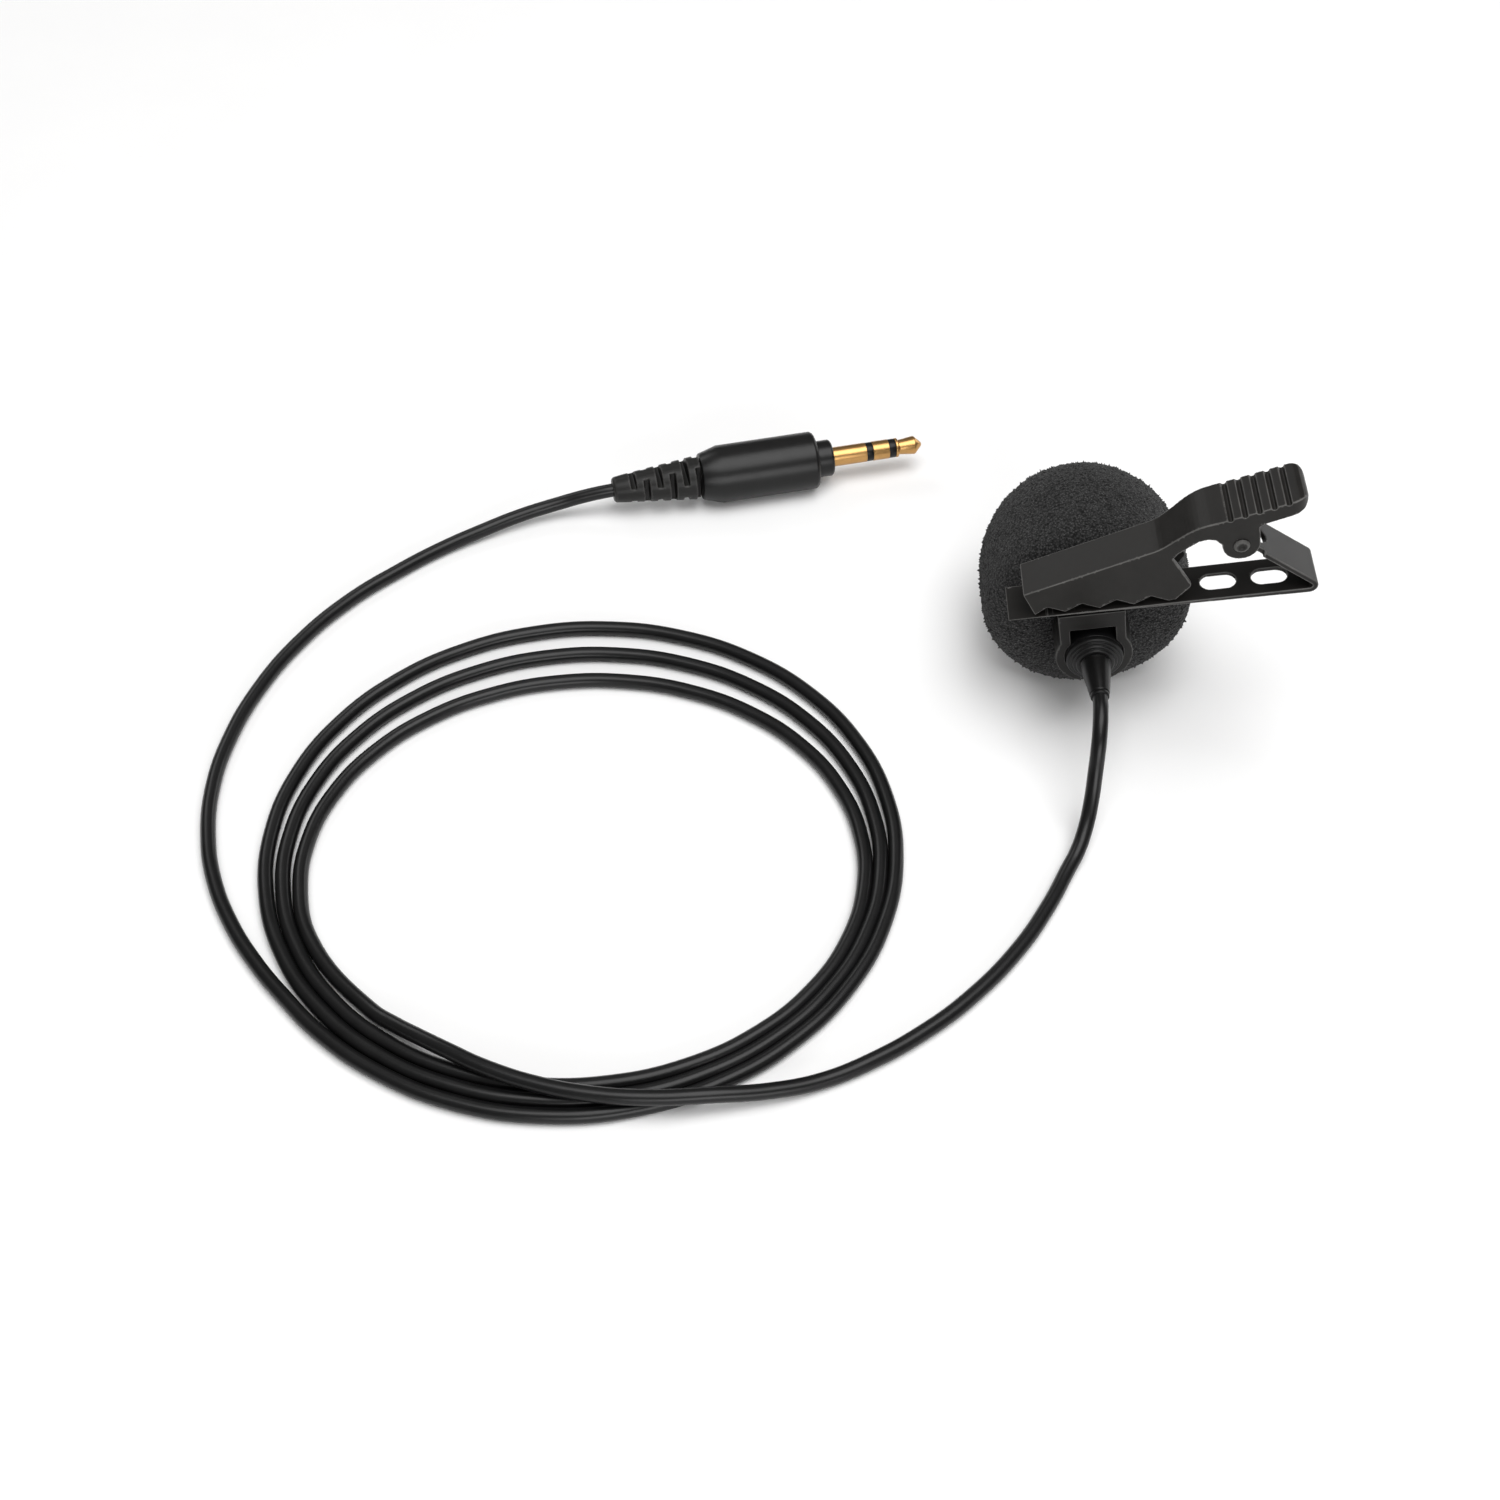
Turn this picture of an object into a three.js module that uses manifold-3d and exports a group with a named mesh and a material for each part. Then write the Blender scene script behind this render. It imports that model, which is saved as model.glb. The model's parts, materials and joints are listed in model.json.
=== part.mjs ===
// Lavalier microphone: capsule in a foam windscreen, jaw clip, coiled cord and 3.5 mm plug.
// Millimetres, +Z up. The head lies with its axis along +Y and its windscreen on the ground.
import * as THREE from "three";
import { mergeVertices } from "three/addons/utils/BufferGeometryUtils.js";
import Module from "manifold-3d";

const wasm = await Module();
wasm.setup();

// Driving dimensions.
const WINDSCREEN_R = 17;
const BARREL_R = 4.55;
const BARREL_WALL = 0.5;
const CLIP_WIDTH = 7.5;
const CLIP_MID_Y = 4.35;
const CLIP_ROLL = THREE.MathUtils.degToRad(8.9);
const SHEET = 0.9;
const PLATE_TOP = 10.4;
const CORD_R = 1.225;
const CORD_SIDES = 8;
const PLUG_PIN_R = 1.75;
const PLUG_BODY_R = 5.2;
const FIT_GAP = 0.1;
const FACE_GAP = 0.3;

// ---------- helpers ----------

const material = (color, roughness, metalness = 0) =>
  new THREE.MeshStandardMaterial({ color, roughness, metalness });

// A closed geometry as a manifold-3d solid.
function solid(geometry) {
  const bare = geometry.clone();
  bare.deleteAttribute("normal");
  bare.deleteAttribute("uv");
  const merged = mergeVertices(bare, 1e-4);
  return new wasm.Manifold(
    new wasm.Mesh({
      numProp: 3,
      vertProperties: merged.attributes.position.array,
      triVerts: new Uint32Array(merged.index.array),
    }),
  );
}

// A manifold-3d solid as a geometry.
function geometryOf(made) {
  const mesh = made.getMesh();
  const geometry = new THREE.BufferGeometry();
  geometry.setAttribute("position", new THREE.BufferAttribute(mesh.vertProperties, mesh.numProp));
  geometry.setIndex(new THREE.BufferAttribute(mesh.triVerts, 1));
  geometry.computeVertexNormals();
  return geometry;
}

const cut = (body, ...tools) => tools.map(solid).reduce((a, b) => a.subtract(b), body);

function part(name, geometry, look) {
  const mesh = new THREE.Mesh(geometry, look);
  mesh.name = name;
  return mesh;
}

// A solid of revolution about the Y axis from [radius, y] pairs.
function turned(profile, segments = 48) {
  return new THREE.LatheGeometry(
    profile.map(([r, y]) => new THREE.Vector2(r, y)),
    segments,
  );
}

// A plain washer or tube about the Y axis.
function tube(inner, outer, y0, y1, segments = 48) {
  return turned([[inner, y0], [outer, y0], [outer, y1], [inner, y1], [inner, y0]], segments);
}

// A cylinder about a line along Y through (x, z).
function pinAlongY(radius, y0, y1, x = 0, z = 0, segments = 32) {
  return turned([[0, y0], [radius, y0], [radius, y1], [0, y1]], segments).translate(x, 0, z);
}

// A cylinder along Z through (x, y).
function pinAlongZ(radius, z0, z1, x, y, segments = 24) {
  return turned([[0, z0], [radius, z0], [radius, z1], [0, z1]], segments)
    .rotateX(Math.PI / 2)
    .translate(x, y, 0);
}

// An outline in the XZ plane, swept along Y from y0 to y1.
function sweptAlongY(shape, y0, y1, curveSegments = 12) {
  const settings = { depth: y1 - y0, bevelEnabled: false, curveSegments };
  return new THREE.ExtrudeGeometry(shape, settings).rotateX(Math.PI / 2).translate(0, y1, 0);
}

// An outline in the XY plane, swept up from z0 to z1.
function sweptUp(shape, z0, z1, curveSegments = 12) {
  const settings = { depth: z1 - z0, bevelEnabled: false, curveSegments };
  return new THREE.ExtrudeGeometry(shape, settings).translate(0, 0, z0);
}

const outline = (points) => new THREE.Shape(points.map(([x, y]) => new THREE.Vector2(x, y)));

// A slot with round ends along X, centred on (x, y).
function stadium(x, y, length, width) {
  const r = width / 2;
  const half = length / 2 - r;
  const shape = new THREE.Shape();
  shape.absarc(x + half, y, r, -Math.PI / 2, Math.PI / 2);
  shape.absarc(x - half, y, r, Math.PI / 2, (3 * Math.PI) / 2);
  return shape;
}

// ---------- materials ----------

const looks = {
  foam: material(0x3a3a3b, 1.0),
  barrel: material(0x1b1b1c, 0.45, 0.6),
  collar: material(0x161616, 0.5),
  relief: material(0x0e0e0e, 0.25),
  clip: material(0x2d2c2a, 0.42, 0.5),
  holder: material(0x232220, 0.5, 0.2),
  steel: material(0x9a9a98, 0.3, 1.0),
  cord: material(0x161617, 0.4),
  plug: material(0x1e1e1d, 0.6),
  gold: material(0xd9a441, 0.22, 1.0),
  insulator: material(0x0c0c0c, 0.4),
  board: material(0x1e5a34, 0.6),
  element: material(0xb9b9b4, 0.35, 1.0),
  copper: material(0xb87333, 0.35, 1.0),
  rubber: material(0x1a1a1a, 0.85),
};

// ---------- windscreen ----------

const WINDSCREEN_REAR_Y = 8.4;
const WINDSCREEN_WAIST_Y = 18.6;
const WINDSCREEN_NOSE_Y = 37.8;
const BORE_R = BARREL_R + 0.25;
const BORE_END_Y = 23.4;

// Radius of the windscreen at a distance from its widest place, as a rounded-square curve.
function roundedRadius(distance, reach, squareness) {
  const share = Math.min(distance / reach, 1);
  return WINDSCREEN_R * Math.pow(1 - Math.pow(share, squareness), 1 / squareness);
}

function windscreen() {
  const rearReach = WINDSCREEN_WAIST_Y - WINDSCREEN_REAR_Y + 0.1;
  const noseReach = WINDSCREEN_NOSE_Y - WINDSCREEN_WAIST_Y;
  const profile = [[BORE_R, WINDSCREEN_REAR_Y]];
  const steps = 9;
  for (let i = steps; i >= 0; i--) {
    const distance = (WINDSCREEN_WAIST_Y - WINDSCREEN_REAR_Y) * Math.sin(((i / steps) * Math.PI) / 2);
    profile.push([roundedRadius(distance, rearReach, 5), WINDSCREEN_WAIST_Y - distance]);
  }
  for (let i = 1; i <= steps; i++) {
    const distance = noseReach * Math.sin(((i / steps) * Math.PI) / 2);
    const radius = i === steps ? 0 : roundedRadius(distance, noseReach, 2.3);
    profile.push([radius, WINDSCREEN_WAIST_Y + distance]);
  }
  profile.push([0, BORE_END_Y], [BORE_R, BORE_END_Y], [BORE_R, WINDSCREEN_REAR_Y]);
  return part("foam_windscreen", turned(profile, 40), looks.foam);
}

// ---------- capsule ----------

const BARREL_INNER_R = BARREL_R - BARREL_WALL;
const BARREL_REAR_Y = 0.95;
const BARREL_FRONT_Y = 22;

function barrel() {
  const sleeve = tube(BARREL_INNER_R, BARREL_R, BARREL_REAR_Y, BARREL_FRONT_Y, 64);
  return part("capsule_barrel", sleeve, looks.barrel);
}

function grille() {
  const y = BARREL_FRONT_Y + FIT_GAP / 2;
  const holes = [pinAlongY(0.55, y - 1, y + 2, 0, 0, 16)];
  const ringOfHoles = 6;
  for (let i = 0; i < ringOfHoles; i++) {
    const a = (i / ringOfHoles) * Math.PI * 2;
    holes.push(pinAlongY(0.55, y - 1, y + 2, 2.3 * Math.cos(a), 2.3 * Math.sin(a), 16));
  }
  const cap = turned([[0, y], [BARREL_R, y], [BARREL_R, y + 0.7], [BARREL_R - 0.5, y + 1], [0, y + 1]]);
  return part("capsule_grille", geometryOf(cut(solid(cap), ...holes)), looks.barrel);
}

// Discs and rings stacked inside the barrel, from the front backwards.
function capsuleStack() {
  const r = BARREL_INNER_R - FIT_GAP;
  return [
    part("acoustic_mesh", pinAlongY(r, 21.5, 21.8), looks.steel),
    part("electret_capsule", pinAlongY(r, 17.6, 21.2), looks.element),
    part("capsule_seat", tube(r - 1.1, r, 16.6, 17.5), looks.rubber),
    part("capsule_board", pinAlongY(r, 15.3, 16.4), looks.board),
  ];
}

// The stepped collar that closes the barrel, bored for the strain relief's stem.
const STEM_R = 1.9;
const COLLAR_SPIGOT_Y = 2.2;

function rearCollar() {
  const bore = STEM_R + FIT_GAP;
  const spigot = BARREL_INNER_R - FIT_GAP / 2;
  const profile = [
    [bore, -1.05], [2.95, -1.05], [3.1, -0.9], [3.1, -0.6], [3.5, -0.6], [3.6, -0.5], [3.6, -0.3],
    [4.05, -0.3], [4.05, 0], [4.4, 0], [BARREL_R, 0.15], [BARREL_R, 0.9], [spigot, 0.9],
    [spigot, COLLAR_SPIGOT_Y], [bore, COLLAR_SPIGOT_Y], [bore, -1.05],
  ];
  return part("rear_collar", turned(profile), looks.collar);
}

// Tapered strain relief with a lip at its tip and a flange held behind the collar.
const RELIEF_TIP_Y = -8.3;

function strainRelief() {
  const base = -1.15;
  const profile = [
    [0, RELIEF_TIP_Y], [1.35, RELIEF_TIP_Y], [1.5, RELIEF_TIP_Y + 0.15], [1.5, RELIEF_TIP_Y + 0.5],
    [1.42, RELIEF_TIP_Y + 0.62], [1.6, RELIEF_TIP_Y + 0.8], [2.45, base - 0.4], [2.55, base - 0.15],
    [2.45, base], [STEM_R, base], [STEM_R, COLLAR_SPIGOT_Y + FIT_GAP], [3, COLLAR_SPIGOT_Y + FIT_GAP],
    [3, COLLAR_SPIGOT_Y + 1], [0, COLLAR_SPIGOT_Y + 1],
  ];
  return part("strain_relief", turned(profile), looks.relief);
}

function cordEndInBarrel() {
  const start = COLLAR_SPIGOT_Y + 1 + FIT_GAP;
  return [
    part("cord_core", pinAlongY(0.9, start, 15.2, 0, 0, 20), looks.copper),
    part("cord_crimp", tube(1, 1.7, start + 1.5, start + 6, 24), looks.steel),
  ];
}

// ---------- clip: holder, plate, pin, spring ----------
// The clip's own frame: x along the plate, z away from the capsule's axis, y along that axis.

const NECK_HALF = 5.2;
const NECK_TOP = PLATE_TOP - SHEET - FIT_GAP;
const RING_R = 6.15;
const RING_BORE_R = BARREL_R + 0.12;
const RING_SLOT_HALF = 2.3;
const WINDOW_HALF = 3.6;
const WINDOW_TOP = 6.1;
const RIVET_X = 2.3;

const angleAt = (x, r) => Math.acos(x / r);

// C-ring round the barrel, open at the bottom, under a neck with a square window.
function holder() {
  const shape = new THREE.Shape();
  const neckAngle = angleAt(NECK_HALF, RING_R);
  const slotOuter = -angleAt(RING_SLOT_HALF, RING_R);
  const slotInner = -angleAt(RING_SLOT_HALF, RING_BORE_R);
  const windowAngle = angleAt(WINDOW_HALF, RING_BORE_R);
  shape.absarc(0, 0, RING_R, slotOuter, neckAngle, false);
  shape.lineTo(NECK_HALF + 0.1, NECK_TOP);
  shape.lineTo(-NECK_HALF - 0.1, NECK_TOP);
  shape.absarc(0, 0, RING_R, Math.PI - neckAngle, Math.PI - slotOuter, false);
  shape.absarc(0, 0, RING_BORE_R, Math.PI - slotInner, Math.PI - windowAngle, true);
  shape.lineTo(-WINDOW_HALF, WINDOW_TOP);
  shape.lineTo(WINDOW_HALF, WINDOW_TOP);
  shape.absarc(0, 0, RING_BORE_R, windowAngle, slotInner, true);
  const body = solid(sweptAlongY(shape, CLIP_MID_Y - 3.4, CLIP_MID_Y + 3.4, 24));
  const holes = [-RIVET_X, RIVET_X].map((x) => pinAlongZ(0.8, 5, 12, x, CLIP_MID_Y));
  return part("clip_holder", geometryOf(cut(body, ...holes)), looks.holder);
}

function holderRivet(name, x) {
  const low = WINDOW_TOP - 0.05;
  const high = PLATE_TOP + 0.05;
  const profile = [
    [0, low - 0.45], [1.1, low - 0.45], [1.1, low], [0.7, low], [0.7, high], [1.2, high],
    [0.9, high + 0.4], [0, high + 0.5],
  ];
  const rivet = turned(profile, 24).rotateX(Math.PI / 2).translate(x, CLIP_MID_Y, 0);
  return part(name, rivet, looks.clip);
}

// The pivot and the leg that climbs to it from the bend.
const PIVOT = { x: 23.0, z: 21.85 };
const PIN_R = 0.95;
const PIN_BORE_R = PIN_R + 0.08;
const KNUCKLE_R = 1.75;
const KNUCKLE_HALF = 3.1;
const SPRING_HALF = 1.65;
const PLATE_LEFT_X = -14.1;
const BEND_R = 1.4;
const LEG_SLOPE = THREE.MathUtils.degToRad(43);
const PLATE_SLOTS_X = [20.0, 27.9];
const SLOT_LENGTH = 5.6;
const SLOT_WIDTH = 3.4;

// Unit vectors up the leg and out of its outer face.
const legUp = { x: -Math.cos(LEG_SLOPE), z: Math.sin(LEG_SLOPE) };
const legOut = { x: Math.sin(LEG_SLOPE), z: Math.cos(LEG_SLOPE) };
const LEG_OFFSET = 0.56;

// A point at a distance up the leg from the pivot and out from the pivot.
const onLeg = (up, out) => [PIVOT.x + legUp.x * up + legOut.x * out, PIVOT.z + legUp.z * up + legOut.z * out];

function clipPlate() {
  const bendZ = PLATE_TOP - SHEET + BEND_R;
  const reach = LEG_OFFSET - BEND_R;
  const bendX = (legOut.x * PIVOT.x + legOut.z * PIVOT.z + reach - legOut.z * bendZ) / legOut.x;
  const legAngle = Math.PI / 2 - LEG_SLOPE;
  const shape = new THREE.Shape();
  shape.moveTo(PLATE_LEFT_X, PLATE_TOP - SHEET);
  shape.absarc(bendX, bendZ, BEND_R, -Math.PI / 2, legAngle, false);
  shape.lineTo(...onLeg(0, LEG_OFFSET));
  shape.lineTo(...onLeg(0, LEG_OFFSET - SHEET));
  shape.absarc(bendX, bendZ, BEND_R - SHEET, legAngle, -Math.PI / 2, true);
  shape.lineTo(PLATE_LEFT_X, PLATE_TOP);
  const half = CLIP_WIDTH / 2;
  const strip = solid(sweptAlongY(shape, CLIP_MID_Y - half, CLIP_MID_Y + half));

  const clearance = 3.5;
  const outside = [-1, 1].map((side) =>
    new THREE.BoxGeometry(2 * clearance, half, 2 * clearance).translate(
      PIVOT.x,
      CLIP_MID_Y + side * (KNUCKLE_HALF + half / 2),
      PIVOT.z,
    ),
  );
  const knuckles = pinAlongY(KNUCKLE_R, CLIP_MID_Y - KNUCKLE_HALF, CLIP_MID_Y + KNUCKLE_HALF, PIVOT.x, PIVOT.z);
  const windowHole = sweptUp(stadium(0, 0, 10.4, 2 * SPRING_HALF), -3, 3)
    .rotateY(LEG_SLOPE)
    .translate(PIVOT.x - legUp.x * 0.2, CLIP_MID_Y, PIVOT.z - legUp.z * 0.2);
  const knuckleGap = new THREE.BoxGeometry(5, 2 * SPRING_HALF, 5).translate(PIVOT.x, CLIP_MID_Y, PIVOT.z);
  const bore = pinAlongY(PIN_BORE_R, CLIP_MID_Y - 5, CLIP_MID_Y + 5, PIVOT.x, PIVOT.z);
  const slots = PLATE_SLOTS_X.map((x) => sweptUp(stadium(x, CLIP_MID_Y, SLOT_LENGTH, SLOT_WIDTH), 8.5, 11.5));
  const rivetHoles = [-RIVET_X, RIVET_X].map((x) => pinAlongZ(0.8, 8, 12, x, CLIP_MID_Y));
  const narrowed = cut(strip, ...outside).add(solid(knuckles));
  const pierced = cut(narrowed, windowHole, knuckleGap, bore, ...slots, ...rivetHoles, ...plateCorners());
  return part("clip_plate", geometryOf(pierced), looks.clip);
}

// What is cut off to round the plate's two free corners.
function plateCorners() {
  const r = 0.9;
  const half = CLIP_WIDTH / 2;
  return [-1, 1].map((side) => {
    const shape = new THREE.Shape();
    const x = PLATE_LEFT_X;
    const y = CLIP_MID_Y + side * half;
    shape.moveTo(x - 1, y + side);
    shape.lineTo(x - 1, y - side * r);
    shape.lineTo(x, y - side * r);
    shape.absarc(x + r, y - side * r, r, Math.PI, side > 0 ? Math.PI / 2 : 1.5 * Math.PI, side > 0);
    shape.lineTo(x + r, y + side);
    return sweptUp(shape, 8, 12);
  });
}

const EAR_R = 2.85;
const HANDLE_HALF = 4.3;
const PIN_HEAD_R = 1.25;

// Riveted at both ends, with a dimple in each domed head.
function pivotPin() {
  const face = HANDLE_HALF + 0.05;
  const head = [
    [PIN_R, face], [PIN_HEAD_R, face], [PIN_HEAD_R, face + 0.12], [1.05, face + 0.36], [0.8, face + 0.45],
    [0.55, face + 0.38], [0.35, face + 0.24], [0, face + 0.2],
  ];
  const mirrored = head.toReversed().map(([r, y]) => [r, -y]);
  const pin = turned([...mirrored, ...head], 32).translate(PIVOT.x, CLIP_MID_Y, PIVOT.z);
  return part("pivot_pin", pin, looks.clip);
}

// Coil round the pin with one arm along the leg and one under the handle.
function torsionSpring() {
  const coilR = 1.42;
  const wireR = 0.24;
  const turns = 3.35;
  const perTurn = 12;
  const startAngle = THREE.MathUtils.degToRad(-133);
  const points = [];
  const at = (angle, r, y) =>
    new THREE.Vector3(PIVOT.x + r * Math.cos(angle), CLIP_MID_Y + y, PIVOT.z + r * Math.sin(angle));
  const spread = 2 * (SPRING_HALF - wireR - FIT_GAP);
  const steps = Math.round(turns * perTurn);
  for (let i = 0; i <= steps; i++) {
    const share = i / steps;
    points.push(at(startAngle - share * turns * Math.PI * 2, coilR, (0.5 - share) * spread));
  }
  const tangent = (a, b, length) => b.clone().add(b.clone().sub(a).setY(0).setLength(length));
  const first = tangent(points[1], points[0], 5.2);
  const last = tangent(points[steps - 1], points[steps], 5.4);
  const all = [first, ...points, last];
  return part("torsion_spring", wireAlong(all, wireR, 6), looks.steel);
}

// A closed round wire or cord through a list of points.
function wireAlong(points, radius, sides) {
  const curve = new THREE.CatmullRomCurve3(points, false, "centripetal");
  const section = new THREE.Shape();
  for (let i = 0; i < sides; i++) {
    const a = (i / sides) * Math.PI * 2;
    if (i === 0) section.moveTo(radius, 0);
    else section.lineTo(radius * Math.cos(a), radius * Math.sin(a));
  }
  return new THREE.ExtrudeGeometry(section, {
    steps: points.length * 2,
    bevelEnabled: false,
    extrudePath: curve,
  });
}

// ---------- clip: lever ----------

const JAW_HALF = 3.5;
const JAW_WALL = 0.9;
const TOOTH_PITCH = 5.35;
const TOOTH_DEPTH = 1.4;
const TOOTH_Z = PLATE_TOP + 0.35;
const LAST_TOOTH_X = 11.95;
const HANDLE_END_X = 33.1;
const GROOVES = 5;
const GROOVE_PITCH = 2.15;
const GROOVE_R = 0.42;
const FIRST_GROOVE_X = 21.35;

// The top of the lever: a straight jaw from the nose, then an arched neck and a gently rising handle.
const LEVER_NOSE = [-10.4, 15.4];
const LEVER_NECK = [
  [8.6, 21.23], [10.9, 22.05], [13.2, 23.7], [15.4, 25.4], [17.6, 26.5], [20.6, 27.2], [25.5, 28.3],
  [29.8, 29.35], [31.6, 29.8],
];

function leverTop() {
  const curve = new THREE.SplineCurve(LEVER_NECK.map(([x, z]) => new THREE.Vector2(x, z)));
  return [LEVER_NOSE, ...curve.getPoints(26).map((point) => [point.x, point.y])];
}

// Height of the lever's top at x.
function topAt(x) {
  const points = leverTop();
  const i = points.findIndex(([px]) => px > x);
  const [x0, z0] = points[i - 1];
  const [x1, z1] = points[i];
  return z0 + ((x - x0) / (x1 - x0)) * (z1 - z0);
}

function toothLine() {
  const points = [];
  const count = 4;
  for (let i = 0; i < count; i++) {
    const tip = LAST_TOOTH_X - i * TOOTH_PITCH;
    points.push([tip, TOOTH_Z], [tip - TOOTH_PITCH / 2, TOOTH_Z + TOOTH_DEPTH]);
  }
  return points;
}

function leverSide() {
  const earStart = THREE.MathUtils.degToRad(172);
  const ear = [];
  const earSteps = 12;
  for (let i = 0; i <= earSteps; i++) {
    const a = earStart + (i / earSteps) * THREE.MathUtils.degToRad(188);
    ear.push([PIVOT.x + EAR_R * Math.cos(a), PIVOT.z + EAR_R * Math.sin(a)]);
  }
  const underHandle = [
    [25.75, 25.3], [26.8, 25.8], [31.4, 27.05], [32.5, 27.5], [HANDLE_END_X - 0.05, 28.2], [HANDLE_END_X, 28.9],
    [32.85, 29.5], [32.4, 29.8],
  ];
  const rear = [
    [13.1, 11.0], [15.3, 13.6], [15.45, 14.2], [12.75, 19.7], [13.6, 20.85], [15.4, 22.3], [16.7, 23.3],
    [18.0, 23.65], [19.1, 23.4],
  ];
  const nose = [[-8.85, TOOTH_Z]];
  const top = leverTop().toReversed();
  return outline([...top, ...nose, ...toothLine().toReversed(), ...rear, ...ear, ...underHandle]);
}

// Plan outline of the lever, inset by a wall: a narrow jaw that flares into the wider handle.
function leverPlan(inset) {
  const flare = [];
  const steps = 8;
  for (let i = 0; i <= steps; i++) {
    const share = i / steps;
    const ease = share * share * (3 - 2 * share);
    flare.push([11 + share * 8.5, JAW_HALF + (HANDLE_HALF - JAW_HALF) * ease - inset]);
  }
  const shape = new THREE.Shape();
  const r = 2.4;
  const left = -12;
  shape.moveTo(left, -(JAW_HALF - inset));
  flare.forEach(([x, y]) => shape.lineTo(x, -y));
  shape.absarc(HANDLE_END_X - r, -(HANDLE_HALF - inset) + r, r, -Math.PI / 2, 0, false);
  shape.absarc(HANDLE_END_X - r, HANDLE_HALF - inset - r, r, 0, Math.PI / 2, false);
  flare.toReversed().forEach(([x, y]) => shape.lineTo(x, y));
  shape.lineTo(left, JAW_HALF - inset);
  return shape;
}

// The hollow of the jaw and the room between the ears.
function leverHollow() {
  const roof = leverTop().filter(([x]) => x < 18).map(([x, z]) => [x + 0.25, z - JAW_WALL]);
  roof[0] = [-8.9, 14.85];
  const side = outline([...roof.toReversed(), [-7.6, 9], [27, 9], [26.4, 25.3], [20.5, 25.5]]);
  const sideSolid = solid(sweptAlongY(side, CLIP_MID_Y - 5, CLIP_MID_Y + 5));
  const plan = sweptUp(leverPlan(JAW_WALL), 5, 40).translate(0, CLIP_MID_Y, 0);
  return sideSolid.intersect(solid(plan));
}

function clipLever() {
  const side = solid(sweptAlongY(leverSide(), CLIP_MID_Y - 5, CLIP_MID_Y + 5));
  const plan = solid(sweptUp(leverPlan(0), 5, 40).translate(0, CLIP_MID_Y, 0));
  const grooves = [];
  for (let i = 0; i < GROOVES; i++) {
    const x = FIRST_GROOVE_X + i * GROOVE_PITCH;
    grooves.push(pinAlongY(GROOVE_R, CLIP_MID_Y - 6, CLIP_MID_Y + 6, x, topAt(x), 14));
  }
  const bore = pinAlongY(PIN_BORE_R, CLIP_MID_Y - 6, CLIP_MID_Y + 6, PIVOT.x, PIVOT.z);
  const made = cut(side.intersect(plan).subtract(leverHollow()), bore, ...grooves);
  return part("clip_lever", geometryOf(made), looks.clip);
}

// ---------- plug ----------
// The plug's own frame: y along its axis from the tip of the boot to the tip of the pin.

const BOOT_LENGTH = 15.9;
const CONE_LENGTH = 3.7;
const BODY_LENGTH = 17.8;
const COLLAR_LENGTH = 3;
const PIN_LENGTH = 16.9;
const COLLAR_R = 3.3;
const CORE_R = 0.45;
const BODY_START = BOOT_LENGTH + CONE_LENGTH;
const BODY_END = BODY_START + BODY_LENGTH;
const SHOULDER = BODY_END + COLLAR_LENGTH;

// Tapered boot with pairs of slots that alternate between two directions. The last pair is at its wide end.
function plugBoot() {
  const tipR = 2.3;
  const endR = 4;
  const end = BOOT_LENGTH - 0.05;
  const cone = turned([[0, 0], [tipR - 0.3, 0], [tipR, 0.4], [2.55, 2.2], [endR, end], [0, end]], 32);
  const slots = [];
  const count = 6;
  const pitch = 2.36;
  const firstSlot = 3.6;
  const slotWidth = 1;
  const webHalf = 1.35;
  const reach = 8;
  for (let i = 0; i < count; i++) {
    const y = firstSlot + i * pitch;
    const extra = i === count - 1 ? 0.3 : 0;
    for (const side of [-1, 1]) {
      const slot = new THREE.BoxGeometry(reach, slotWidth + extra, 12);
      slot.translate(side * (webHalf + reach / 2), y + extra / 2, 0);
      slots.push(i % 2 ? slot : slot.rotateY(Math.PI / 2));
    }
  }
  return part("plug_boot", geometryOf(cut(solid(cone), ...slots)), looks.plug);
}

function plugBody() {
  const start = BOOT_LENGTH + 0.05;
  const bore = PLUG_PIN_R + FIT_GAP;
  const depth = 12;
  const profile = [
    [0, start], [3.95, start], [4.2, start + 0.25], [PLUG_BODY_R, BODY_START],
    [PLUG_BODY_R, BODY_END - 0.5], [PLUG_BODY_R - 0.5, BODY_END], [bore, BODY_END], [bore, BODY_END - depth],
    [0, BODY_END - depth],
  ];
  return part("plug_body", turned(profile), looks.plug);
}

function plugCollar() {
  const bore = PLUG_PIN_R + FIT_GAP;
  const rear = BODY_END + 0.05;
  const profile = [
    [bore, rear], [COLLAR_R, rear], [COLLAR_R, SHOULDER - 0.35], [COLLAR_R - 0.35, SHOULDER], [bore, SHOULDER],
    [bore, rear],
  ];
  return part("plug_collar", turned(profile), looks.plug);
}

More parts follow.
